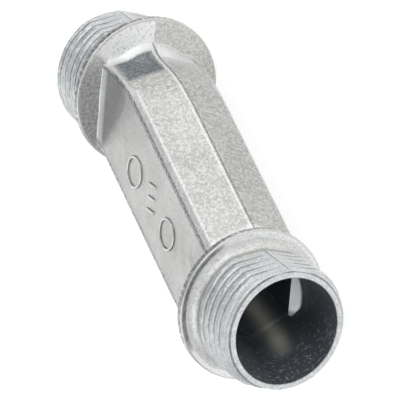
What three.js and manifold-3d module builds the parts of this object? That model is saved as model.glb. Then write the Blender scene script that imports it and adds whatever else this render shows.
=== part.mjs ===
// A 1/2 in offset conduit nipple, die-cast in zinc.
//
// Two short threaded hubs stand on parallel axes, one offset from the other.
// Each hub springs from a round flange, and a hollow body with flat sides and
// roofed edges runs slantwise between the two flanges.
//
// +Y runs along the thread axes, +X across them in the plane of the offset,
// and +Z is the side with the raised marks.  The nipple lies on the rims of
// its flanges, which touch z = 0, and the origin is under its middle.
// It is unchanged by half a turn about the vertical line through its middle,
// so each end is built once and turned for the other.

import * as THREE from 'three';
import { mergeVertices } from 'three/addons/utils/BufferGeometryUtils.js';
import Module from 'manifold-3d';

const wasm = await Module();
wasm.setup();

// ---- driving dimensions, in millimetres ----

const AXIS_OFFSET = 21.0; // from one thread axis to the other
const BODY_LENGTH = 40.7; // from the back of one flange to the back of the other
const FLANGE_RADIUS = 12.4;
const FLANGE_THICKNESS = 1.4;
const HUB_LENGTH = 11.8; // from the flange's seat to the mouth

const THREAD_RADIUS = 21.34 / 2; // 1/2 in conduit locknut thread, 0.840 in across
const THREAD_PITCH = 25.4 / 14; // 14 threads to the inch
const THREAD_TURNS = 5;
const THREAD_DEPTH = 0.62;
const NECK_RADIUS = 10.15; // plain neck between the seat and the first thread
const NECK_LENGTH = 2.1;
const MOUTH_RADIUS = 9.56; // outside of the chamfered ring at the mouth
const MOUTH_RING_LENGTH = 0.4;
const BORE_RADIUS = 8.7;
const FLAT_RIDGE = 9.8; // parting ridge of the two low flats on each side of a hub
const FLAT_SLOPE = Math.tan(THREE.MathUtils.degToRad(11));

const LEAN = 0.512; // sideways run of the body for each millimetre along the axes
const HALF_WIDTH = 7.85; // flat side faces, above and below the parting plane
const SIDE_EDGE = 7.95; // where a side face ends, from the body's middle line
const ROOF_EDGE = 9.3; // where the roof starts, past the corner bevel
const ROOF_EDGE_Z = 7.1;
const RIDGE = 11.7; // parting ridge where two roofs meet

const COLLAR_RIDGE = 7.75; // ridge of the collar, from the hub's axis, at the flange
const COLLAR_TAPER = 0.17;
const COLLAR_ROOF_SLOPE = 0.35;
const COLLAR_SIDE_RADIUS = 9.3; // flared side of the collar where it meets the flange
const COLLAR_SIDE_LENGTH = 8.5;
const ELBOW_LENGTH = 12.0; // from the back of a flange to the straight part of the body

const PASSAGE_HALF_WIDTH = 6.2;
const PASSAGE_SIDE_EDGE = 7.0;
const PASSAGE_RIDGE = 9.5;
const PASSAGE_COLLAR_RIDGE = 6.0;
const PASSAGE_COLLAR_SLOPE = 0.53;
const PASSAGE_TAPER = 0.22;

const MARK_HEIGHT = 0.25; // raised marks on the upper side face
const RING_MARK_RADIUS = 2.7;
const RING_MARK_WIDTH = 0.5;
const BAR_LENGTH = 2.7; // the bars stand side by side across the body
const BAR_WIDTH = 0.6;
const BAR_PITCH = 2.1;

const ROUND_STEPS = 72;
const BEYOND = 40; // reach of the cutting shapes past the part

// ---- lengths that follow from them ----

const FLANGE_BACK = BODY_LENGTH / 2;
const SEAT = FLANGE_BACK + FLANGE_THICKNESS;
const NECK_END = SEAT + NECK_LENGTH;
const MOUTH = SEAT + HUB_LENGTH;
const BODY_END = FLANGE_BACK - ELBOW_LENGTH;
const AXIS_X = AXIS_OFFSET / 2;

// ---- finish of the casting ----

const ZINC = { color: 0xc4c6c4, roughness: 0.42, metalness: 0.9 };
const ZINC_THREAD = { color: 0xb4b7b6, roughness: 0.5, metalness: 0.9 };

// ---- solids ----

function solidOf(geometry) {
  const bare = geometry.clone();
  bare.deleteAttribute('normal');
  bare.deleteAttribute('uv');
  const merged = mergeVertices(bare, 1e-5);
  return new wasm.Manifold(new wasm.Mesh({
    numProp: 3,
    vertProperties: new Float32Array(merged.attributes.position.array),
    triVerts: new Uint32Array(merged.index.array),
  }));
}

// The cut faces between neighbouring regions lie exactly on their shared plane.
function geometryOf(solid, planes = []) {
  const mesh = solid.getMesh();
  const points = new Float32Array(mesh.vertProperties);
  for (let i = 1; i < points.length; i += 3) {
    for (const plane of planes) {
      if (Math.abs(points[i] - plane) < 1e-4) points[i] = plane;
    }
  }
  const geometry = new THREE.BufferGeometry();
  geometry.setAttribute('position', new THREE.BufferAttribute(points, 3));
  geometry.setIndex(new THREE.BufferAttribute(new Uint32Array(mesh.triVerts), 1));
  geometry.computeVertexNormals();
  return geometry;
}

// A prism along Y: its outline is drawn in X and Z, and it leans in X with Y.
function prism(outline, fromY, toY, lean = 0, pivotY = 0) {
  const shape = new THREE.Shape(outline.map(([x, z]) => new THREE.Vector2(x, z)));
  const geometry = new THREE.ExtrudeGeometry(shape, { depth: toY - fromY, bevelEnabled: false });
  geometry.rotateX(Math.PI / 2);
  geometry.translate(0, toY, 0);
  const shear = new THREE.Matrix4().set(1, lean, 0, -lean * pivotY, 0, 1, 0, 0, 0, 0, 1, 0, 0, 0, 0, 1);
  geometry.applyMatrix4(shear);
  return solidOf(geometry);
}

// A solid of revolution about the near hub's axis, from a closed profile of [radius, y].
function turned(profile) {
  const points = [...profile, profile[0]].map(([r, y]) => new THREE.Vector2(r, y));
  const geometry = new THREE.LatheGeometry(points, ROUND_STEPS);
  geometry.translate(-AXIS_X, 0, 0);
  return solidOf(geometry);
}

function slab(fromY, toY) {
  const geometry = new THREE.BoxGeometry(2 * BEYOND, toY - fromY, 2 * BEYOND);
  geometry.translate(0, (fromY + toY) / 2, 0);
  return solidOf(geometry);
}

// The outline of a roofed section: a ridge at each end, and flat sides.
function roofed(ridge, roofEdge, roofEdgeZ, sideEdge, halfWidth) {
  return [
    [ridge, 0], [roofEdge, roofEdgeZ], [sideEdge, halfWidth],
    [-sideEdge, halfWidth], [-roofEdge, roofEdgeZ], [-ridge, 0],
    [-roofEdge, -roofEdgeZ], [-sideEdge, -halfWidth],
    [sideEdge, -halfWidth], [roofEdge, -roofEdgeZ],
  ];
}

// Everything above the two roofs of the near collar, which tapers towards the body.
function aboveCollar(ridge, roofSlope, taper) {
  const reachZ = 15;
  const outline = [
    [-AXIS_X - ridge, 0], [-AXIS_X - ridge + roofSlope * reachZ, -reachZ], [BEYOND, -reachZ],
    [BEYOND, reachZ], [-AXIS_X - ridge + roofSlope * reachZ, reachZ],
  ];
  return prism(outline, -MOUTH, BEYOND, taper, -FLANGE_BACK);
}

const halfTurn = (solid) => solid.rotate([0, 0, 180]);
const along = [-MOUTH - 1, MOUTH + 1];

const bodyOutline = roofed(RIDGE, ROOF_EDGE, ROOF_EDGE_Z, SIDE_EDGE, HALF_WIDTH);
const passageOutline = [
  [PASSAGE_RIDGE, 0], [PASSAGE_SIDE_EDGE, PASSAGE_HALF_WIDTH], [-PASSAGE_SIDE_EDGE, PASSAGE_HALF_WIDTH],
  [-PASSAGE_RIDGE, 0], [-PASSAGE_SIDE_EDGE, -PASSAGE_HALF_WIDTH], [PASSAGE_SIDE_EDGE, -PASSAGE_HALF_WIDTH],
];

// The flared sides of the near collar, a low cone about the hub's axis.
const flare = turned([
  [0, -FLANGE_BACK - 0.5], [COLLAR_SIDE_RADIUS, -FLANGE_BACK - 0.5],
  [HALF_WIDTH, -FLANGE_BACK + COLLAR_SIDE_LENGTH], [0, -FLANGE_BACK + COLLAR_SIDE_LENGTH],
]);

const nearCollar = aboveCollar(COLLAR_RIDGE, COLLAR_ROOF_SLOPE, COLLAR_TAPER);
const nearPassage = aboveCollar(PASSAGE_COLLAR_RIDGE, PASSAGE_COLLAR_SLOPE, PASSAGE_TAPER);

const passage = prism(passageOutline, ...along, LEAN).intersect(nearPassage).intersect(halfTurn(nearPassage));
const casting = prism(bodyOutline, ...along, LEAN)
  .add(flare).add(halfTurn(flare))
  .intersect(nearCollar).intersect(halfTurn(nearCollar))
  .subtract(passage);

// Threaded hub: the mouth and its chamfered ring, ring-shaped thread ridges, a plain neck.
function hubProfile() {
  const lastThread = -NECK_END - THREAD_TURNS * THREAD_PITCH;
  const root = THREAD_RADIUS - THREAD_DEPTH;
  const profile = [[BORE_RADIUS, -MOUTH], [MOUTH_RADIUS, -MOUTH], [MOUTH_RADIUS, -MOUTH + MOUTH_RING_LENGTH]];
  for (let turn = 0; turn < THREAD_TURNS; turn += 1) {
    const y = lastThread + turn * THREAD_PITCH;
    profile.push([root, y], [root, y + 0.1 * THREAD_PITCH]);
    profile.push([THREAD_RADIUS, y + 0.45 * THREAD_PITCH], [THREAD_RADIUS, y + 0.65 * THREAD_PITCH]);
  }
  profile.push([NECK_RADIUS, -NECK_END], [NECK_RADIUS, -SEAT], [BORE_RADIUS, -SEAT]);
  return profile;
}

// The two low flats that meet at the parting ridge, on each side of a hub.
const flatReach = 14;
const flatOutline = [
  [-AXIS_X + FLAT_RIDGE, 0], [-AXIS_X + FLAT_RIDGE - FLAT_SLOPE * flatReach, flatReach],
  [-AXIS_X - FLAT_RIDGE + FLAT_SLOPE * flatReach, flatReach], [-AXIS_X - FLAT_RIDGE, 0],
  [-AXIS_X - FLAT_RIDGE + FLAT_SLOPE * flatReach, -flatReach],
  [-AXIS_X + FLAT_RIDGE - FLAT_SLOPE * flatReach, -flatReach],
];

const hub = turned(hubProfile()).intersect(prism(flatOutline, -MOUTH - 1, -SEAT + 1));

// Flange: a thin disc that seats on the box wall, with the passage through it and the neck on it.
const bore = turned([[0, -MOUTH - 1], [BORE_RADIUS, -MOUTH - 1], [BORE_RADIUS, 0], [0, 0]]);
const disc = turned([[0, -SEAT], [FLANGE_RADIUS, -SEAT], [FLANGE_RADIUS, -FLANGE_BACK], [0, -FLANGE_BACK]]);
const flange = disc.subtract(passage.intersect(bore)).add(hub.intersect(slab(-NECK_END, -SEAT)));

// ---- the named regions of the casting ----

const root = new THREE.Group();
root.position.z = FLANGE_RADIUS;

function addNode(parent, name, geometry, finish) {
  const mesh = new THREE.Mesh(geometry, new THREE.MeshStandardMaterial(finish));
  mesh.name = name;
  parent.add(mesh);
  return mesh;
}

for (const [end, turn] of [['near', 0], ['far', Math.PI]]) {
  const group = new THREE.Group();
  group.rotation.z = turn;
  root.add(group);
  const threaded = hub.intersect(slab(-MOUTH - 1, -NECK_END));
  addNode(group, `${end}_hub`, geometryOf(threaded, [-NECK_END, -MOUTH]), ZINC_THREAD);
  addNode(group, `${end}_flange`, geometryOf(flange, [-NECK_END, -SEAT, -FLANGE_BACK]), ZINC);
  const elbow = casting.intersect(slab(-FLANGE_BACK, -BODY_END));
  addNode(group, `${end}_elbow`, geometryOf(elbow, [-FLANGE_BACK, -BODY_END]), ZINC);
}
const body = casting.intersect(slab(-BODY_END, BODY_END));
addNode(root, 'offset_body', geometryOf(body, [-BODY_END, BODY_END]), ZINC);

// Plain raised marks on the upper side face: a ring towards each end, and bars between.
function ringMark() {
  const shape = new THREE.Shape().absarc(0, 0, RING_MARK_RADIUS, 0, 2 * Math.PI);
  shape.holes.push(new THREE.Path().absarc(0, 0, RING_MARK_RADIUS - RING_MARK_WIDTH, 0, 2 * Math.PI, true));
  return new THREE.ExtrudeGeometry(shape, { depth: MARK_HEIGHT, bevelEnabled: false, curveSegments: 20 });
}

for (const [name, x, y] of [['ring_mark_near', -3.8, -6.0], ['ring_mark_far', 2.1, 6.9]]) {
  const mark = addNode(root, name, geometryOf(solidOf(ringMark())), ZINC);
  mark.position.set(x, y, HALF_WIDTH);
}

for (let i = 0; i < 3; i += 1) {
  const bar = addNode(root, `bar_mark_${i + 1}`, new THREE.BoxGeometry(BAR_WIDTH, BAR_LENGTH, MARK_HEIGHT), ZINC);
  bar.position.set((i - 1) * BAR_PITCH, 0.3, HALF_WIDTH + MARK_HEIGHT / 2);
}

export default root;
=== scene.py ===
# A 1/2 in offset conduit nipple, die-cast in zinc in one piece: a threaded hub
# and a round flange at each end, and a hollow slanted body between them.
# The fitting's lengths are in millimetres from its middle until a mesh is made,
# and the studio's are in metres.
import math

import bpy
import numpy as np
from mathutils import Matrix, Vector


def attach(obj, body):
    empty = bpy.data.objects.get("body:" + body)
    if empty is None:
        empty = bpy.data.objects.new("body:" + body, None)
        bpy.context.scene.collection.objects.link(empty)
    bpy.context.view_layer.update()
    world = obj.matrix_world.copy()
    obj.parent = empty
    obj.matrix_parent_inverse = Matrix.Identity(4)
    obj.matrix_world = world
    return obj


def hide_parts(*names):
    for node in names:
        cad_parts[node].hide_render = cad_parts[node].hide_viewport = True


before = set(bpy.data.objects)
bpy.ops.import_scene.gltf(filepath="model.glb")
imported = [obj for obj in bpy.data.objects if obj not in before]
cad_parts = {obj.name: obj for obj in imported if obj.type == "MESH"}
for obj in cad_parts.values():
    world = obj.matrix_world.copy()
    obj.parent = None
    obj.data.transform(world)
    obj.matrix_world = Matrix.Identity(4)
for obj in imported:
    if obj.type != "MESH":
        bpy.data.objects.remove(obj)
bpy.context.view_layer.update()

# ---- Studio -----------------------------------------------------------------
# The fitting lies on the rims of its flanges on a plain white table that glows
# a little, among four soft lights: at its side, behind, in front and above.
RIM_HEIGHT = 12.4  # from the table to the parting plane, in millimetres
VIEW_AZIMUTH, VIEW_ELEVATION, VIEW_ROLL = 21.167, 26.210, -94.449
VIEW_DISTANCE = 0.8533
VIEW_AIM = Vector((-0.00048, -0.00085, 0.01226))
LENS, SENSOR_WIDTH = 486.79, 36.0
ROOM_TONE = (0.22, 0.23, 0.25, 1)
TABLE_REACH, TABLE_TONE, TABLE_ROUGHNESS, TABLE_GLOW = 1.2, 0.35, 0.9, 0.8

scene = bpy.context.scene
scene.view_settings.view_transform = "Standard"

turned = (
    Matrix.Rotation(math.radians(VIEW_AZIMUTH), 4, "Z")
    @ Matrix.Rotation(math.radians(90 - VIEW_ELEVATION), 4, "X")
)
camera = bpy.data.objects.new("camera", bpy.data.cameras.new("camera"))
camera.data.lens, camera.data.sensor_width = LENS, SENSOR_WIDTH
camera.matrix_world = (
    Matrix.Translation(VIEW_AIM + turned.to_3x3() @ Vector((0, 0, VIEW_DISTANCE)))
    @ turned @ Matrix.Rotation(math.radians(VIEW_ROLL), 4, "Z")
)
scene.collection.objects.link(camera)
scene.camera = camera


def soft_light(name, direction, distance, width, height, radiance):
    """A flat lamp at that distance along direction, turned to the fitting, as bright as radiance."""
    lamp = bpy.data.lights.new(name, "AREA")
    lamp.shape, lamp.size, lamp.size_y = "RECTANGLE", width, height
    lamp.energy = radiance * math.pi * width * height
    holder = bpy.data.objects.new(name, lamp)
    away = Vector(direction).normalized()
    holder.location = away * distance
    holder.rotation_euler = away.to_track_quat("Z", "Y").to_euler()
    scene.collection.objects.link(holder)


soft_light("side_light", (0.86, -0.1, 0.5), distance=0.7, width=0.9, height=0.9, radiance=1.6)
soft_light("back_light", (-0.42, 0.86, 0.3), distance=0.8, width=0.9, height=0.5, radiance=1.5)
soft_light("front_light", (-0.05, -0.96, 0.22), distance=1.0, width=0.7, height=0.4, radiance=1.6)
soft_light("top_light", (-0.5, -0.25, 0.83), distance=0.9, width=1.0, height=0.9, radiance=1.7)

world = bpy.data.worlds.new("studio_room")
world.use_nodes = True
world.node_tree.nodes["Background"].inputs["Color"].default_value = ROOM_TONE
scene.world = world

table_mesh = bpy.data.meshes.new("table")
corners = [(-1, -1), (1, -1), (1, 1), (-1, 1)]
table_mesh.from_pydata([(x * TABLE_REACH, y * TABLE_REACH, 0) for x, y in corners], [], [(0, 1, 2, 3)])
table = bpy.data.objects.new("table", table_mesh)
scene.collection.objects.link(table)
white = bpy.data.materials.new("white_table")
white.use_nodes = True
paper = white.node_tree.nodes["Principled BSDF"]
paper.inputs["Base Color"].default_value = (TABLE_TONE, TABLE_TONE, TABLE_TONE, 1)
paper.inputs["Roughness"].default_value = TABLE_ROUGHNESS
paper.inputs["Specular IOR Level"].default_value = 0.0
paper.inputs["Emission Color"].default_value = (1, 1, 1, 1)
paper.inputs["Emission Strength"].default_value = TABLE_GLOW
table_mesh.materials.append(white)

# ---- Threaded hubs ----------------------------------------------------------
# The hub takes a locknut: a shallow right-handed thread as it comes from the
# die, two pairs of low flats where the die halves part, and a bevelled mouth.
AXIS_X = -10.5  # the near hub's axis; the far end is the near one turned by half a turn
HALF_TURN = np.array([-1.0, -1.0, 1.0])
FLANGE_BACK, SEAT, NECK_END, MOUTH = 20.35, 21.75, 23.85, 33.55  # from the middle, along the axis
NECK, BORE, CREST = 10.15, 8.7, 10.64  # radii
THREAD_DEPTH, PITCH = 0.36, 25.4 / 14
MOUTH_RING, LIP_IN, LIP_OUT = 9.56, 0.22, 0.12  # the end ring, and its roundings into the bore and outwards
END_LINE, END_LINE_WIDTH = 0.40, 0.10  # the line of painted shade behind the end ring
END_BEVEL, END_BEVEL_RISE, END_BEVEL_START, END_BEVEL_LENGTH = 9.66, 0.3, 0.42, 0.28
PLAIN_END, THREAD_START, THREAD_RINGS = 10.02, 1.2, 84  # the thread starts behind a short plain end
CROWN_DROP, GROOVE_WIDTH = 0.3, 0.27
SCRATCHES = ((0.3, 8), (0.62, 9), (0.8, 10))  # where each lies in a turn of the thread, and its seed
SCRATCH_DEPTH, SCRATCH_WIDTH = 0.45, 0.10
FLAT_RIDGE, FLAT_SLOPE, FLAT_ROUND = 9.8, math.tan(math.radians(11)), 0.12
FLAT_GROOVE, FLAT_SKIN = 0.15, 0.1  # the grooves' depth in the flats, and how near counts as on a flat
PARTING_DEPTH, PARTING_WIDTH = 0.06, 0.17
THROAT, THROAT_DRAFT, THROAT_CURVE, THROAT_SLOPE, THROAT_ROUND = 6.31, 0.292, 0.012, 0.53, 1.6
BAND_HEIGHT, BAND_WIDTH, BAND_START, BAND_END = -3.7, 1.3, -9, -28  # the band of painted light in the passage and bore
LEAN = 0.512  # of the body's middle line, across for each unit along
AROUND = 640  # points round a hub or a flange
SHARP_EDGE = math.radians(50)

METAL, METAL_LOST = 0.8, 0.4  # how metallic the zinc looks, and how much less on unpolished skin
# The first colour is painted shade for the bores and the passage, the second is rubbed wear, and the third is
# painted light.
BORE_SHADE, RUBBED_BORE, BORE_PAINTED_LIGHT = (0.10, 0.115, 0.13), (0.50, 0.53, 0.55), (0.80, 0.78, 0.68)
THREAD_GREY, THREAD_LIGHT_GREY = (0.54, 0.56, 0.56), (0.64, 0.655, 0.65)
THREAD_BLOTCH, THREAD_FLECK = (0.74, 0.75, 0.75), (0.95, 0.96, 0.96)
# The pits are the zinc's own; the second colour is painted shade for the grooves and their lines.
THREAD_PIT, THREAD_GROOVE_SHADE = (0.22, 0.24, 0.24), (0.14, 0.15, 0.155)


def ripple(points, size, seed):
    """Smooth random relief from -1 to 1: many sine waves of about that size in random directions."""
    draw = np.random.default_rng(seed)
    turns = draw.normal(size=(20, 3))
    turns *= (draw.uniform(0.7, 1.5, 20) / np.linalg.norm(turns, axis=1))[:, None] * 2 * math.pi / size
    return np.sin(points @ turns.T + draw.uniform(0, 2 * math.pi, 20)).sum(-1) / 6.5


def bell(distance, width):
    """1 at no distance, falling to almost nothing at two widths on either side."""
    return np.exp(-(distance / width) ** 2)


def held(value):
    """The value, held between 0 and 1."""
    return np.clip(value, 0, 1)


def soft_max(a, b, width):
    """The larger of a and b, rounded over where they differ by less than width."""
    near = np.maximum(width - np.abs(a - b), 0) / width
    return np.maximum(a, b) + near * near * width / 4


def soft_min(a, b, width):
    """The smaller of a and b, rounded over in the same way."""
    return -soft_max(-a, -b, width)


def full_turn(count):
    """Angles round a full turn, evenly spaced."""
    return np.arange(count) * 2 * math.pi / count


def rings_at(angles, reach, across, along):
    """Rings of points about the line (across, along), one for each row: every point lies at its reach
    from that line, at its angle from +X towards +Z."""
    return np.stack([across + reach * np.cos(angles), np.broadcast_to(along, reach.shape),
                     reach * np.sin(angles)], -1)


def shell(name, rings, shares, material):
    """A closed skin through rings of points, the last joined to the first, with named numbers at its
    points. It rides on the casting, replaces the node of its own name, and its faces point outwards."""
    count, around = rings.shape[:2]
    ids = np.arange(count * around).reshape(count, around)
    ahead = np.roll(ids, -1, 0)
    quads = np.stack([ids, ahead, np.roll(ahead, -1, 1), np.roll(ids, -1, 1)], -1).reshape(-1, 4)
    points = rings.reshape(-1, 3)
    a, b, c, d = (points[quads[:, k]] for k in range(4))
    if (np.cross(c - a, d - b) * (a + b + c + d)).sum() < 0:
        quads = quads[:, ::-1]
    mesh = bpy.data.meshes.new(name)
    placed = (points + (0, 0, RIM_HEIGHT)) / 1000
    mesh.from_pydata(placed.tolist(), [], quads.tolist())
    for share, values in shares.items():
        mesh.attributes.new(share, "FLOAT", "POINT").data.foreach_set(
            "value", np.broadcast_to(values, (count, around)).astype(np.float32).ravel())
    mesh.shade_smooth()
    mesh.set_sharp_from_angle(angle=SHARP_EDGE)
    mesh.materials.append(material)
    piece = bpy.data.objects.new(name, mesh)
    scene.collection.objects.link(piece)
    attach(piece, "root")
    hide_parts(name.removesuffix("_skin"))


class Field:
    """A number that varies over a surface; arithmetic on it adds Math nodes."""

    def __init__(self, finish, socket):
        self.finish, self.socket = finish, socket

    def worked(self, operation, *values):
        return self.finish.node("ShaderNodeMath", {"operation": operation}, dict(enumerate(values)))

    def __add__(self, other):
        return self.worked("ADD", self, other)

    def __sub__(self, other):
        return self.worked("SUBTRACT", self, other)

    def __rsub__(self, other):
        return self.worked("SUBTRACT", other, self)

    def __mul__(self, other):
        return self.worked("MULTIPLY", self, other)

    __radd__, __rmul__ = __add__, __mul__

    def rise(self, low, high):
        """0 up to low, 1 from high on, and a smooth rise between."""
        return self.finish.node("ShaderNodeMapRange", {"interpolation_type": "SMOOTHSTEP"},
                                {"Value": self, "From Min": low, "From Max": high})


class Finish:
    """A material, built up node by node."""

    MIX_AMOUNT, MIX_FIRST, MIX_SECOND, MIX_RESULT = 0, 6, 7, 2  # a Mix node's sockets for colours

    def __init__(self, name):
        self.material = bpy.data.materials.new(name)
        self.material.use_nodes = True
        self.tree = self.material.node_tree
        self.skin = self.tree.nodes["Principled BSDF"]
        self.place = self.node("ShaderNodeTexCoord", {}, {}, "Object")

    def node(self, kind, settings, inputs, output=0):
        """Adds a node with its settings, then its inputs' values or links, and gives one output."""
        node = self.tree.nodes.new(kind)
        for key, value in settings.items():
            setattr(node, key, value)
        self.fill(node, inputs)
        return Field(self, node.outputs[output])

    def fill(self, node, inputs):
        """Sets each input to its value, or links it to its field."""
        for key, value in inputs.items():
            if isinstance(value, Field):
                self.tree.links.new(value.socket, node.inputs[key])
            else:
                node.inputs[key].default_value = value

    def share(self, name):
        """A number stored at the points of the mesh, and 0 on a mesh that has none of that name."""
        return self.node("ShaderNodeAttribute", {"attribute_name": name}, {}, "Fac")

    def noise(self, size, detail=2.0, roughness=0.5):
        """Noise whose patches are about size millimetres across."""
        return self.node("ShaderNodeTexNoise", {}, {
            "Vector": self.place, "Scale": 1000 / size, "Detail": detail, "Roughness": roughness})

    def mixed(self, amount, first, second):
        """Colour first, going over to second by amount."""
        colours = {socket: shade if isinstance(shade, Field) else (*shade, 1)
                   for socket, shade in ((self.MIX_FIRST, first), (self.MIX_SECOND, second))}
        return self.node("ShaderNodeMix", {"data_type": "RGBA"}, {self.MIX_AMOUNT: amount, **colours},
                         self.MIX_RESULT)

    def cast(self, colour, roughness, height, depth):
        """Sets the zinc's colour and roughness, and its relief: a height of 1 stands for depth
        millimetres. The bores and the ledge look less metallic than the rest."""
        bump = self.node("ShaderNodeBump", {}, {"Height": height, "Distance": depth / 1000, "Strength": 1.0})
        metal = self.share("inside") * -METAL_LOST - self.share("ledge") * METAL_LOST + METAL
        self.fill(self.skin, {"Base Color": colour, "Roughness": roughness, "Normal": bump,
                              "Metallic": metal})
        return self.material


def bore_colour(finish, outside):
    """The bores' skin, painted dark as shade, with pale rubs of wear and a band of painted light, under the
    outside colour where inside is 0.
    """
    rubs = finish.noise(0.6, 3.0, 0.75).rise(0.54, 0.64) * (0.2 + finish.share("rubbed") * 0.65)
    wall = finish.mixed(finish.share("band"), finish.mixed(rubs, BORE_SHADE, RUBBED_BORE), BORE_PAINTED_LIGHT)
    return finish.mixed(finish.share("inside"), outside, wall)


def thread_finish():
    """Cast zinc with a cool grey skin: painted shade in the grooves, flecked and pitted, and rough all over.
    """
    finish = Finish("zinc_thread")
    groove, tone = finish.share("groove"), finish.noise(3.0, 3.0)
    blotch, speck = finish.noise(0.8, 2.0), finish.noise(0.3, 2.0)
    zinc = finish.mixed(tone.rise(0.3, 0.7), THREAD_GREY, THREAD_LIGHT_GREY)
    zinc = finish.mixed(blotch.rise(0.45, 0.62) * 0.5, zinc, THREAD_BLOTCH)
    zinc = finish.mixed(speck.rise(0.58, 0.70) * 0.65, zinc, THREAD_FLECK)
    zinc = finish.mixed((1 - speck.rise(0.32, 0.42)) * 0.45, zinc, THREAD_PIT)
    # Painted shade, speckled, in the grooves and along the lines that the groove share marks.
    groove_shade = groove.rise(0.35, 0.95) * (0.5 + speck.rise(0.35, 0.6) * 0.45)
    zinc = finish.mixed(groove_shade, zinc, THREAD_GROOVE_SHADE)
    return finish.cast(bore_colour(finish, zinc), 0.44 + blotch * 0.16, blotch * 0.6 + speck * 0.4, 0.06)


def flat_reach(angles):
    """Distance from the hub's axis to its flats: in the section, two straight lines that rise to a ridge
    on each side."""
    return FLAT_RIDGE / (np.abs(np.cos(angles)) + FLAT_SLOPE * np.abs(np.sin(angles)))


def bore_reach(angles, along):
    """Distance from the hub's axis to the bore's wall: round, but for a roofed floor on the side away
    from the passage. The floor's distance grows with its distance in front of the seat and with the
    square of that, so the floor is gone before the mouth."""
    ahead = -SEAT - along
    facing = np.maximum(-np.cos(angles) + THROAT_SLOPE * np.abs(np.sin(angles)), 0.05)
    floor = (THROAT + THROAT_DRAFT * ahead + THROAT_CURVE * ahead ** 2) / facing
    return soft_min(BORE + 0 * floor, floor, THROAT_ROUND)


def lit_band(rings):
    """How much painted light lies on the floor's lower slope: a soft band along the middle of it, fading to
    both ends.
    """
    x, y, z = np.moveaxis(rings, -1, 0)
    on_floor = held((LEAN * y - x - 1) / 1.5)
    ends = held((BAND_START - y) / 6) * held((y - BAND_END) / 4)
    return bell(z - BAND_HEIGHT, BAND_WIDTH) * on_floor * ends


def mouth_profile():
    """Radii of the rings from the bore's lip over the end ring and its bevel to the thread, and their
    depths behind the mouth. The roundings are quarter circles, and the bevel is a quarter oval."""
    turn = np.linspace(0, math.pi / 2, 5)
    steps = (
        (BORE + LIP_IN - LIP_IN * np.cos(turn), LIP_IN - LIP_IN * np.sin(turn)),
        (MOUTH_RING - LIP_OUT + LIP_OUT * np.sin(turn), LIP_OUT - LIP_OUT * np.cos(turn)),
        (MOUTH_RING, [0.2, 0.3, 0.38]),
        (END_BEVEL + END_BEVEL_RISE * np.sin(turn), END_BEVEL_START + END_BEVEL_LENGTH * (1 - np.cos(turn))),
        (PLAIN_END, [0.8, 0.95, 1.1]),
    )
    radius = np.concatenate([np.broadcast_to(radius, np.shape(depth)) for radius, depth in steps])
    return radius, np.maximum(np.concatenate([depth for radius, depth in steps]), 0)


def thread_wave(turn, points):
    """The thread's section, 0 in the groove and 1 on the crest, over one turn from 0 to 1: a crown that
    drops a little to both sides, between rounded grooves, less a few broken scratches along it."""
    aside = np.abs(turn - 0.5)
    crown = 1 - CROWN_DROP * (aside * 2) ** 3
    wave = crown * (1 - bell((0.5 - aside) * PITCH, GROOVE_WIDTH))
    for place, seed in SCRATCHES:
        scratch = bell((turn - place) * PITCH, SCRATCH_WIDTH)
        wave = wave - SCRATCH_DEPTH * scratch * held(0.3 + ripple(points, 3.0, seed))
    return wave


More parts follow.
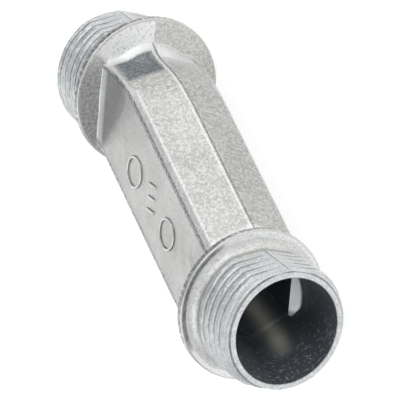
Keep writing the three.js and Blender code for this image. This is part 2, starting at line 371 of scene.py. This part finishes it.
def hub_rings():
    """The near hub's skin: the outside from the mouth to the neck, then the bore back to the mouth. The
    thread is a wave of the angle and the distance along the axis, and fades out at both ends. The flats
    cut it down, and the die's parting line is a fine groove along both ridges."""
    angles = full_turn(AROUND)
    end_radius, end_depth = mouth_profile()
    thread_depth = np.linspace(THREAD_START, MOUTH - NECK_END, THREAD_RINGS)
    depth = np.concatenate([end_depth, thread_depth])[:, None]
    base = np.concatenate([end_radius, np.full(len(thread_depth), CREST - THREAD_DEPTH)])[:, None]
    along, to_neck = depth - MOUTH, MOUTH - NECK_END - depth
    points = rings_at(angles, np.broadcast_to(base, (len(base), AROUND)), AXIS_X, along)

    phase = (-NECK_END - along) / PITCH + np.arctan2(np.cos(angles), np.sin(angles)) / (2 * math.pi)
    phase = phase + 0.05 * ripple(points, 5.0, 3) + 0.02 * ripple(points, 0.9, 4)
    wave = thread_wave(phase - np.floor(phase), points)
    fading = held((depth - 0.9) / 0.8) * held(to_neck / 0.5 + 0.3)
    reach = base + THREAD_DEPTH * held(wave) * (fading * (0.86 + 0.12 * ripple(points, 2.5, 5)))

    flat = flat_reach(angles)
    from_ridge = np.abs(flat * np.sin(angles))
    worn = (0.25 + 0.75 * held(from_ridge / 4.5)) * held(from_ridge / 0.8) * fading
    flat = flat - FLAT_GROOVE * worn * (1 - wave)
    on_thread = depth > END_LINE
    reach = np.where(on_thread, soft_min(reach, flat + 0 * reach, FLAT_ROUND), reach)
    reach = reach + on_thread * 0.012 * ripple(points, 0.7, 6)

    on_flat = reach > flat - FLAT_SKIN
    # The groove share sets painted shade: in the thread's grooves, along a line at the neck, along the
    # parting line and behind the end ring.
    groove = (1 - wave) * held(fading * 1.3) * np.where(on_flat, 0.3 + 0.7 * worn, 1.0)
    groove = np.maximum(groove, 0.8 * bell(to_neck, 0.2) * (reach < flat - FLAT_SKIN))
    parting = bell(reach * np.sin(angles), PARTING_WIDTH) * held(depth - 0.6)
    reach, groove = reach - PARTING_DEPTH * parting, np.maximum(groove, parting)
    groove = np.maximum(groove * on_thread, bell(depth - END_LINE, END_LINE_WIDTH) * 0.9)

    bore_depth = np.linspace(MOUTH - NECK_END, 0.35, 40)[:, None]
    bore_along = bore_depth - MOUTH
    bore = bore_reach(angles, bore_along)
    rough_bore = bore + 0.01 * ripple(rings_at(angles, bore, AXIS_X, bore_along), 1.5, 7)
    rings = np.concatenate([rings_at(angles, reach, AXIS_X, along),
                            rings_at(angles, rough_bore, AXIS_X, bore_along)])
    inside = np.concatenate([held(1 - np.arange(len(depth)) / 3.0), np.ones(len(bore_depth))])[:, None]
    rubbed = held(0.3 - 1.5 * np.cos(angles)) * held(1.3 - bore_depth / 7)
    return rings, {"inside": inside, "groove": np.concatenate([groove, 0 * bore]),
                   "band": lit_band(rings), "ledge": 0.0, "rubbed": np.concatenate([0 * reach, rubbed])}


thread_zinc = thread_finish()
rings, shares = hub_rings()
shell("near_hub_skin", rings, shares, thread_zinc)
shell("far_hub_skin", rings * HALF_TURN, shares, thread_zinc)

# ---- Slanted body and its elbows --------------------------------------------
# A flat-sided tube with roofed edges runs slantwise between the flanges. At each
# end a collar trims the outer roof, and the sides flare out to meet the flange.
RIDGE, ROOF_SLOPE = 11.7, 2.4 / 7.1
BEVEL_ACROSS, BEVEL_UP, BEVEL_REACH = 0.75, 1.35, 16.56
HALF_WIDTH = 7.85  # from the parting plane to the flat sides
WIDEST = 12.2  # no part of the skin is farther from the body's middle line
BODY_END = 8.35  # where the straight body meets the elbows
COLLAR_REACH, COLLAR_TAPER, COLLAR_SLOPE = 17.85, 0.15, 0.235
BRIM_REACH, BRIM_TAPER, BRIM_SLOPE = 22.29, 0.12, 0.85
FLARE_HEIGHT, FLARE_LENGTH, FLARE_MIDDLE = 0.32, 8.2, 1.5
FLARE_ROUND, FLARE_NARROWING = 1.7, 0.85
BOSS, BOSS_DRAFT, BOSS_LENGTH, BOSS_ROUND = 8.35, 0.5, 12, 0.35
FILLET, FILLET_RISE = 1.7, 0.22
PASSAGE_RIDGE, PASSAGE_SLOPE, PASSAGE_HALF_WIDTH = 9.5, 2.5 / 6.2, 6.8
THROAT_REACH, THROAT_TAPER = 16.5, 0.22
EDGE_ROUND, COLLAR_ROUND = 0.0022, 0.013  # in nearness, which is one over millimetres
PASSAGE_EDGE_ROUND, PASSAGE_ROOF_ROUND = 0.004, 0.006
RIDGE_SEAM_AT, RIDGE_SEAM_HEIGHT, RIDGE_SEAM_WIDTH = 0.42, 0.11, 0.26
RIDGE_PARTING_AT, RIDGE_PARTING_DEPTH, RIDGE_PARTING_WIDTH = -0.12, 0.10, 0.15
FLASH_HEIGHT, FLASH_WIDTH = 0.10, 0.36

BODY_GREY, BODY_LIGHT_GREY = (0.452, 0.443, 0.422), (0.548, 0.545, 0.522)
# Painted light and shade among these: the first colour is a painted highlight, the next two are the zinc's
# own patches and specks; then a blue-grey painted shade, painted light for the ledge, and a black painted
# shade for creases and flash.
PAINTED_HIGHLIGHT, PALE_PATCH, DARK_SPECK = (0.92, 0.93, 0.93), (0.80, 0.80, 0.78), (0.20, 0.20, 0.19)
BLUE_SHADE, LEDGE_LIGHT, CREASE_SHADE = (0.15, 0.17, 0.185), (0.94, 0.95, 0.94), (0.10, 0.10, 0.10)


def collar_distance(along, reach, taper):
    """How far a collar's roof ridge is from the body's middle line, at a distance along the axes."""
    return reach - taper * (along + FLANGE_BACK) + LEAN * along


def lead(plane, rivals, reach, width):
    """How clearly a plane is the skin: 0 up to its edge with the foremost of its rivals, and 1 from
    about width millimetres on. All are given by their nearness."""
    return held((plane - rivals.max(0)) * reach ** 2 / width)


def casting_reach(angles, along):
    """Distance from the body's middle line to its skin. Each flat is a line in the section, so its
    nearness, one over the distance, is a sum of the direction's parts. The largest nearness wins, softly.
    Also gives where a highlight is painted on the edges, where shade is painted on the skin, and where flash
    stands, with painted shade along it."""
    cos, sin = np.cos(angles), np.sqrt(np.sin(angles) ** 2 + 0.015 ** 2)
    roof = (np.abs(cos) + ROOF_SLOPE * sin) / RIDGE
    bevel = (BEVEL_ACROSS * np.abs(cos) + BEVEL_UP * sin) / BEVEL_REACH
    level = HALF_WIDTH + 0 * along * angles
    collar, brim, flare = roof * 0, roof * 0, level * 0
    for end in (1, -1):
        across = -end * (LEAN * along + HALF_WIDTH * np.cos(angles) / sin) + AXIS_X
        back = FLANGE_BACK + end * along
        aside = FLARE_NARROWING * (across - FLARE_MIDDLE)
        length = FLARE_LENGTH + FLARE_ROUND - np.sqrt(aside ** 2 + FLARE_ROUND ** 2)
        rise = held(1 - back / np.maximum(length, 0.3))
        level, flare = level + FLARE_HEIGHT * rise, np.maximum(flare, rise)
        collar = np.maximum(collar, (-end * cos + COLLAR_SLOPE * sin)
                            / collar_distance(end * along, COLLAR_REACH, COLLAR_TAPER))
        brim = np.maximum(brim, (-end * cos + BRIM_SLOPE * sin)
                          / collar_distance(end * along, BRIM_REACH, BRIM_TAPER))
    side = sin / level
    outline = soft_max(soft_max(roof, bevel, EDGE_ROUND) + 0 * along, collar, COLLAR_ROUND)
    outline = soft_max(outline, brim, EDGE_ROUND)
    reach = 1 / soft_max(outline, side, EDGE_ROUND)

    planes = np.stack([roof + 0 * along, bevel + 0 * along, side, collar, brim])
    ROOF, BEVEL, SIDE, COLLAR, BRIM = range(5)
    foremost = np.argmax(planes, 0)
    uncut = 1 - lead(planes[[SIDE, COLLAR, BRIM]].max(0), planes[[ROOF, BEVEL]], reach, 0.2)
    on_side = lead(side, planes[[ROOF, BEVEL, COLLAR, BRIM]], reach, 0.3)
    on_collar = lead(collar, planes[[ROOF, BEVEL, SIDE, BRIM]], reach, 0.4)
    up, back = reach * np.sin(angles), FLANGE_BACK - np.abs(along)
    # The edge share is a painted highlight: along the side's edges, on the bevels and brims, on the line
    # between roof and bevel, and on the collars' lower side near the flange.
    edge = held(1 - np.abs(side - outline) * reach ** 2 / 0.3)
    edge = np.maximum(edge, ((foremost == BEVEL) | (foremost == BRIM)) * 0.5)
    edge = np.maximum(edge, 0.62 * uncut * bell((roof - bevel) * reach ** 2, 0.26))
    edge = np.maximum(edge, 0.8 * on_collar * (up < -0.2) * held((9 - back) / 7))
    # Painted shade on the flares of the flat sides and on the collars' upper facets near the flange.
    flare_shade = held(flare / 0.05) * on_side * 0.3
    collar_shade = on_collar * held((up - 0.5) / 0.5) * held((7.6 - back) / 1.2)
    flash_and_crease_shade = bell((side - outline) * reach ** 2, FLASH_WIDTH) * (np.sin(angles) > 0)
    return reach, {"edge": edge, "painted_shade": np.maximum(flare_shade, collar_shade), "flash_and_crease_shade": flash_and_crease_shade}


def passage_reach(angles, along, offset=0.0):
    """Distance to the wall of the passage from a line at offset beside the body's middle line: level
    sides, roofed edges and, towards each end, the slanting roof of the throat."""
    cos, sin = np.cos(angles), np.sqrt(np.sin(angles) ** 2 + 0.02 ** 2)
    near = (-cos + THROAT_SLOPE * sin) / (collar_distance(along, THROAT_REACH, THROAT_TAPER) + offset)
    far = (cos + THROAT_SLOPE * sin) / (collar_distance(-along, THROAT_REACH, THROAT_TAPER) - offset)
    roofs = np.maximum((cos + PASSAGE_SLOPE * sin) / (PASSAGE_RIDGE - offset),
                       (-cos + PASSAGE_SLOPE * sin) / (PASSAGE_RIDGE + offset))
    nearness = soft_max(soft_max(near, far, PASSAGE_EDGE_ROUND), roofs, PASSAGE_ROOF_ROUND)
    return 1 / soft_max(nearness, sin / PASSAGE_HALF_WIDTH + 0 * along, PASSAGE_EDGE_ROUND)


def section_angles(count):
    """Angles round the body's section, closer together at its ridges and edges."""
    fine = np.linspace(0, 2 * math.pi, 20001)
    reach, marks = casting_reach(fine, np.zeros(1))
    x, z = reach * np.cos(fine), reach * np.sin(fine)
    crowding = 1 + 2.5 * marks["edge"][1:] ** 0.5 + 3.5 * bell(z[1:], 0.6)
    length = np.concatenate([[0], np.cumsum(np.hypot(np.diff(x), np.diff(z)) * crowding)])
    return np.interp(np.arange(count) * length[-1] / count, length, fine)


def with_bosses(skin, angles, along):
    """The skin with a round boss about each hub's axis standing out of it. In the section a boss is a
    disc, whose far side is the larger root of a quadratic. It shrinks away from the flange."""
    for end in (1, -1):
        back = FLANGE_BACK + end * along
        radius, aside = BOSS - BOSS_DRAFT * back, end * AXIS_X - LEAN * along
        root = radius ** 2 - (aside * np.sin(angles)) ** 2
        disc = aside * np.cos(angles) + np.sqrt(np.maximum(root, 0))
        skin = np.where((root > 0) & (back < BOSS_LENGTH), soft_max(skin, disc, BOSS_ROUND), skin)
    return skin


def casting_rings(angles, outer_y, inner_y):
    """The outer skin over outer_y, then the passage over inner_y. A fillet swells the skin at the flange,
    the parting line is a fine step along the ridges, and beads of flash stand on the upper side's edges."""
    along = outer_y[:, None]
    reach, marks = casting_reach(angles, along)
    close = np.clip(FILLET - (FLANGE_BACK - np.abs(along)), 0, FILLET)
    swell = FILLET_RISE * (1 - np.sqrt(1 - (close / FILLET) ** 2))
    up, out = reach * np.sin(angles), reach * np.cos(angles)
    points = rings_at(angles, reach, LEAN * along, along)
    parting = bell(up - RIDGE_PARTING_AT, RIDGE_PARTING_WIDTH)
    seam = RIDGE_SEAM_HEIGHT * bell(up - RIDGE_SEAM_AT, RIDGE_SEAM_WIDTH) - RIDGE_PARTING_DEPTH * parting
    flash_and_crease_shade, beads = marks["flash_and_crease_shade"], 0.5 + 0.5 * ripple(points, 0.45, 11)
    relief = 0.02 * ripple(points, 3.5, 12) + 0.006 * ripple(points, 0.9, 13)
    skin = reach + seam + FLASH_HEIGHT * flash_and_crease_shade * beads + relief + swell
    skin = np.minimum(with_bosses(skin, angles, along), WIDEST - relief)
    inner_along = inner_y[:, None]
    passage = passage_reach(angles, inner_along)
    rings = np.concatenate([rings_at(angles, skin, LEAN * along, along),
                            rings_at(angles, passage, LEAN * inner_along, inner_along)])

    marks["roof"] = held(np.abs(out) / 4.0 - 1.3) * held((8.0 - np.abs(up)) / 0.8)
    # Painted shade: dark beads along the flash, and a dark line along the parting step on the ridges.
    marks["flash_and_crease_shade"] = np.maximum(flash_and_crease_shade * (0.4 + 0.6 * beads), parting)
    # Painted highlight along the ridge seam and over the fillet at the flange.
    marks["edge"] = np.maximum(marks["edge"], 0.7 * bell(up - RIDGE_SEAM_AT, 0.25))
    marks["edge"] = np.maximum(marks["edge"], np.sqrt(close / FILLET) + 0 * up)
    # Painted shade on the underside, away from the highlights.
    underside = 0.2 * (up < -0.2) * (marks["edge"] < 0.7)
    marks["painted_shade"] = np.maximum(marks["painted_shade"], underside) * held(1 - close * 6 / FILLET)
    shares = {mark: np.concatenate([values + 0 * up, 0 * passage]) for mark, values in marks.items()}
    # Painted light along the passage's floor, from both ends.
    band = lit_band(rings) + lit_band(rings * HALF_TURN)
    # Inside the passage the skin takes the bores' painted shade.
    return rings, {"inside": np.concatenate([0 * up, 0 * passage + 1]), "band": band, "ledge": 0.0, **shares}


def casting_finish():
    """Satin cast zinc: mottled and brighter on the roofs, finer and warmer on the flat sides, with
    painted highlights on the edges, blue-grey painted shade on dull facets, and dark beads of painted shade
    along the flash."""
    finish = Finish("zinc_casting")
    roof, edge, flash_and_crease_shade = finish.share("roof"), finish.share("edge"), finish.share("flash_and_crease_shade")
    tone, blotch = finish.noise(6.0, 3.0), finish.noise(0.55, 3.0, 0.65)
    speck, grain = finish.noise(0.32, 3.0, 0.7), finish.noise(0.16, 2.0)
    zinc = finish.mixed(tone.rise(0.3, 0.7), BODY_GREY, BODY_LIGHT_GREY)
    # Painted highlight where the edge share is high.
    zinc = finish.mixed(edge.rise(0.2, 0.9) * 0.9, zinc, PAINTED_HIGHLIGHT)
    patches = blotch.rise(0.40, 0.62)
    zinc = finish.mixed(patches * (0.20 + roof * 0.4), zinc, PALE_PATCH)
    zinc = finish.mixed(speck.rise(0.53, 0.68) * (0.27 + roof * 0.36), zinc, DARK_SPECK)
    # Blue-grey painted shade on the dull facets.
    zinc = finish.mixed(finish.share("painted_shade") * (1.0 - patches * 0.25), zinc, BLUE_SHADE)
    # Painted light on the ledge.
    zinc = finish.mixed(finish.share("ledge"), zinc, LEDGE_LIGHT)
    # Painted shade, black, in beads along the flash and in the creases and feet.
    zinc = finish.mixed(flash_and_crease_shade.rise(0.15, 0.8) * (0.45 + speck.rise(0.4, 0.6) * 0.4), zinc, CREASE_SHADE)
    roughness = 0.33 + blotch * 0.12 + grain * 0.06 + roof * 0.12
    height = patches * roof * 0.5 + speck * 0.3 + grain * 0.2
    return finish.cast(bore_colour(finish, zinc), roughness, height, 0.03)


casting_zinc = casting_finish()
angles = section_angles(560)
fillet_y = FLANGE_BACK - FILLET * (1 - np.cos(np.linspace(0, math.pi / 2, 14)))
elbow_y = -np.concatenate([fillet_y, np.linspace(fillet_y[-1], BODY_END, 80)[1:]])
rings, shares = casting_rings(angles, elbow_y, np.linspace(-BODY_END, -FLANGE_BACK, 34))
shell("near_elbow_skin", rings, shares, casting_zinc)
shell("far_elbow_skin", rings * HALF_TURN, shares, casting_zinc)
body_y, body_passage_y = np.linspace(-BODY_END, BODY_END, 119), np.linspace(BODY_END, -BODY_END, 26)
rings, shares = casting_rings(angles, body_y, body_passage_y)
shell("offset_body_skin", rings, shares, casting_zinc)

# ---- Flanges ----------------------------------------------------------------
# The thin round flange seats on the wall of the box. A plain neck with a fillet
# joins it to the hub, and the passage opens through it in a sharp-edged ledge.
RIM, RIM_ROUND, SEAT_FILLET, LEDGE_DRAFT = 12.4, 0.28, 1.35, 0.7
HOLE_LIP = 0.02  # how much smaller than the bore the hole stays
SEAM_HEIGHT, SEAM_WIDTH, SEAT_SEAM_SHARE = 0.12, 0.3, 0.6  # in line with the ridges
CORNER_SEAM_HEIGHT, CORNER_SEAM_WIDTH, CORNER_SEAM_ANGLE = 0.09, 0.25, math.radians(55)
SEAM_FADE = 0.6  # the width, in from the rim, over which the seams rise
LEDGE_SKIPPED, LEDGE_FADE = 0.12, 0.3  # how wide the ledge is where its painted light starts, and the width over which it fades in
SHADE_MIDDLE, SHADE_REACH, SHADE_FADE = 77, 50, 14  # the flange's part of painted shade, in degrees from +X to +Z
PALE_FROM, PALE_FADE = 122, 8  # and its part of painted light


def flange_profile(angles):
    """Rows of the near flange's profile: a reach for every angle, a distance from the middle, and the
    number of the first row of each part. The neck and the hole aren't round. Also gives how wide the
    ledge is at every angle."""
    neck = soft_min(NECK + 0 * angles, flat_reach(angles), FLAT_ROUND)
    hole, hole_front = (
        np.minimum(bore_reach(angles, -d) - HOLE_LIP,
                   passage_reach(angles, np.full((1, 1), -d), AXIS_X + LEAN * d)[0])
        for d in (FLANGE_BACK, SEAT))
    bore, rim_foot, ledge_front = bore_reach(angles, -SEAT), RIM - RIM_ROUND, SEAT - LEDGE_DRAFT
    quarter = np.linspace(0, math.pi / 2, 7)

    def onwards(count, start, end):
        """Rows at equal steps from start to end, each a (reach, distance), without the start."""
        return [[first + share * (last - first) for first, last in zip(start, end)]
                for share in np.linspace(0, 1, count + 1)[1:]]

    parts = {
        "neck": [(neck, d) for d in np.linspace(NECK_END, SEAT + SEAT_FILLET, 10)],
        "fillet": [(neck + SEAT_FILLET * (1 - np.cos(q)), SEAT + SEAT_FILLET * (1 - np.sin(q)))
                   for q in quarter[1:]],
        "seat": onwards(7, (neck + SEAT_FILLET, SEAT), (rim_foot, SEAT)),
        "rim front": [(rim_foot + RIM_ROUND * np.sin(q), SEAT - RIM_ROUND * (1 - np.cos(q)))
                      for q in quarter[1:]],
        "rim back": [(rim_foot + RIM_ROUND * np.cos(q), FLANGE_BACK + RIM_ROUND * (1 - np.sin(q)))
                     for q in quarter],
        "back": onwards(21, (rim_foot, FLANGE_BACK), (hole, FLANGE_BACK)),
        "hole": onwards(5, (hole, FLANGE_BACK), (hole_front, ledge_front)),
        "ledge": onwards(5, (hole_front, ledge_front), (bore, SEAT)),
        "bore": [(bore_reach(angles, -d), d) for d in np.linspace(SEAT, NECK_END, 6)[1:]],
    }
    rows, first_row = [], {}
    for part, part_rows in parts.items():
        first_row[part] = len(rows)
        rows += part_rows
    reach = np.array([radius + 0 * angles for radius, distance in rows])
    return reach, np.array([distance for radius, distance in rows])[:, None], first_row, bore - hole_front


def flange_rings():
    """The near flange's skin: its profile carried round the hub's axis, from the neck over the seat, the
    rim and the back into the hole, over the ledge and along the bore. Seams of the die stand on the back
    in four lines, and on the seat in two."""
    angles = full_turn(AROUND)
    reach, distance, first_row, ledge_width = flange_profile(angles)
    number = np.arange(len(reach))[:, None]
    on_fillet = (number >= first_row["fillet"]) & (number < first_row["seat"])
    on_seat = (number >= first_row["seat"]) & (number < first_row["rim front"])
    on_back = (number >= first_row["back"]) & (number < first_row["hole"] - 1)
    within = number >= first_row["hole"] - 1
    on_ledge = (number >= first_row["ledge"] - 1) & (number < first_row["bore"] - 1)

    up, out = reach * np.sin(angles), reach * np.cos(angles)
    from_rim = held((RIM - reach) / SEAM_FADE)
    corner = np.abs(np.abs(np.arctan2(up, -out)) - CORNER_SEAM_ANGLE) * reach
    seam = SEAM_HEIGHT * bell(up, SEAM_WIDTH) * from_rim
    seam = seam + CORNER_SEAM_HEIGHT * bell(corner, CORNER_SEAM_WIDTH) * on_back * from_rim
    rings = rings_at(angles, reach, AXIS_X, -distance + seam * (on_back * 1.0 - on_seat * SEAT_SEAM_SHARE))

    ledge = on_ledge * held((ledge_width - LEDGE_SKIPPED) / LEDGE_FADE)
    turn = np.degrees(np.arctan2(up, out))
    # shaded is painted shade and pale is painted light, both set by the angle round the axis; pale also
    # paints a highlight along the seam on the back, and the edge share a highlight on the rim and the fillet.
    shaded = held((SHADE_REACH - np.abs(turn - SHADE_MIDDLE)) / SHADE_FADE)
    pale = np.maximum(on_back * held((turn - PALE_FROM) / PALE_FADE) * 0.9, on_seat * (1 - shaded) * 0.85)
    pale = np.maximum(pale, on_back * bell(up, 0.5))
    beads = held(0.8 + 0.6 * ripple(rings, 0.8, 14))
    # Painted shade: a dark beaded line at the back of the rim, and a dark line on the neck.
    rim_line = 0.85 * bell(number - first_row["rim back"], 2.2)
    neck_line = 0.7 * bell(number - first_row["fillet"] / 2, 1.5)
    return rings, {
        "inside": within * (1 - ledge),
        "ledge": ledge,
        "band": lit_band(rings),
        "roof": on_back * 1.0 + (on_seat | on_fillet) * 0.8,
        "edge": np.maximum(0.5 * bell(reach - RIM, 0.25), np.maximum(on_fillet * 0.5, pale)),
        "painted_shade": shaded * (on_seat * 0.8 + on_back * 0.38),
        "flash_and_crease_shade": beads * (rim_line + neck_line),
    }


rings, shares = flange_rings()
shell("near_flange_skin", rings, shares, casting_zinc)
shell("far_flange_skin", rings * HALF_TURN, shares, casting_zinc)

# ---- Raised marks -----------------------------------------------------------
# Low marks cast on the upper side face: a plain ring towards each end and three
# bars side by side between them. Their edges are soft, as they leave the die.
MARK_HEIGHT, RING_MARK_RADIUS, RING_MARK_WIDTH = 0.25, 2.45, 0.5
RING_MARKS_AT = {"near": (-3.8, -6.0), "far": (2.1, 6.9)}
BAR_LENGTH, BAR_WIDTH, BAR_PITCH, BARS_AT = 2.7, 0.6, 2.1, (0.0, 0.3)
MARK_SIDES = 24  # points round a mark's section
BURIED = -0.3  # how far a mark's section reaches below its foot, in heights


def ring_mark_rings(across, along):
    """A ring about (across, along) with a low half-oval section, its foot on the face."""
    turn, around = full_turn(MARK_SIDES), full_turn(120)
    wide = RING_MARK_RADIUS + RING_MARK_WIDTH / 2 * np.cos(turn)[:, None]
    high = HALF_WIDTH + MARK_HEIGHT * np.maximum(np.sin(turn), BURIED)[:, None]
    return np.stack([across + wide * np.cos(around), along + wide * np.sin(around),
                     high + 0 * around * wide], -1)


def bar_mark_rings(across, along):
    """A round-ended bar: a half-oval section that shrinks to both ends, its foot on the face."""
    run, turn = np.linspace(-1, 1, 41), full_turn(MARK_SIDES)
    girth = np.sqrt(np.maximum(1 - np.abs(run) ** 6, 1e-6))[:, None]
    wide, high = BAR_WIDTH / 2 * girth * np.cos(turn), MARK_HEIGHT * girth * np.maximum(np.sin(turn), BURIED)
    return np.stack([across + wide, along + BAR_LENGTH / 2 * run[:, None] + 0 * wide, HALF_WIDTH + high], -1)


height = np.sin(full_turn(MARK_SIDES))
# The feet carry painted shade, and the crests a painted highlight.
foot, crest = 0.95 * (height < 0.6), 0.3 + 0.25 * (height > 0.8)
for name, (across, along) in RING_MARKS_AT.items():
    shell(f"ring_mark_{name}_skin", ring_mark_rings(across, along),
          {"flash_and_crease_shade": foot[:, None], "edge": crest[:, None]}, casting_zinc)
for number in (1, 2, 3):
    across, along = BARS_AT[0] + (number - 2) * BAR_PITCH, BARS_AT[1]
    shell(f"bar_mark_{number}_skin", bar_mark_rings(across, along), {"flash_and_crease_shade": foot, "edge": crest},
          casting_zinc)
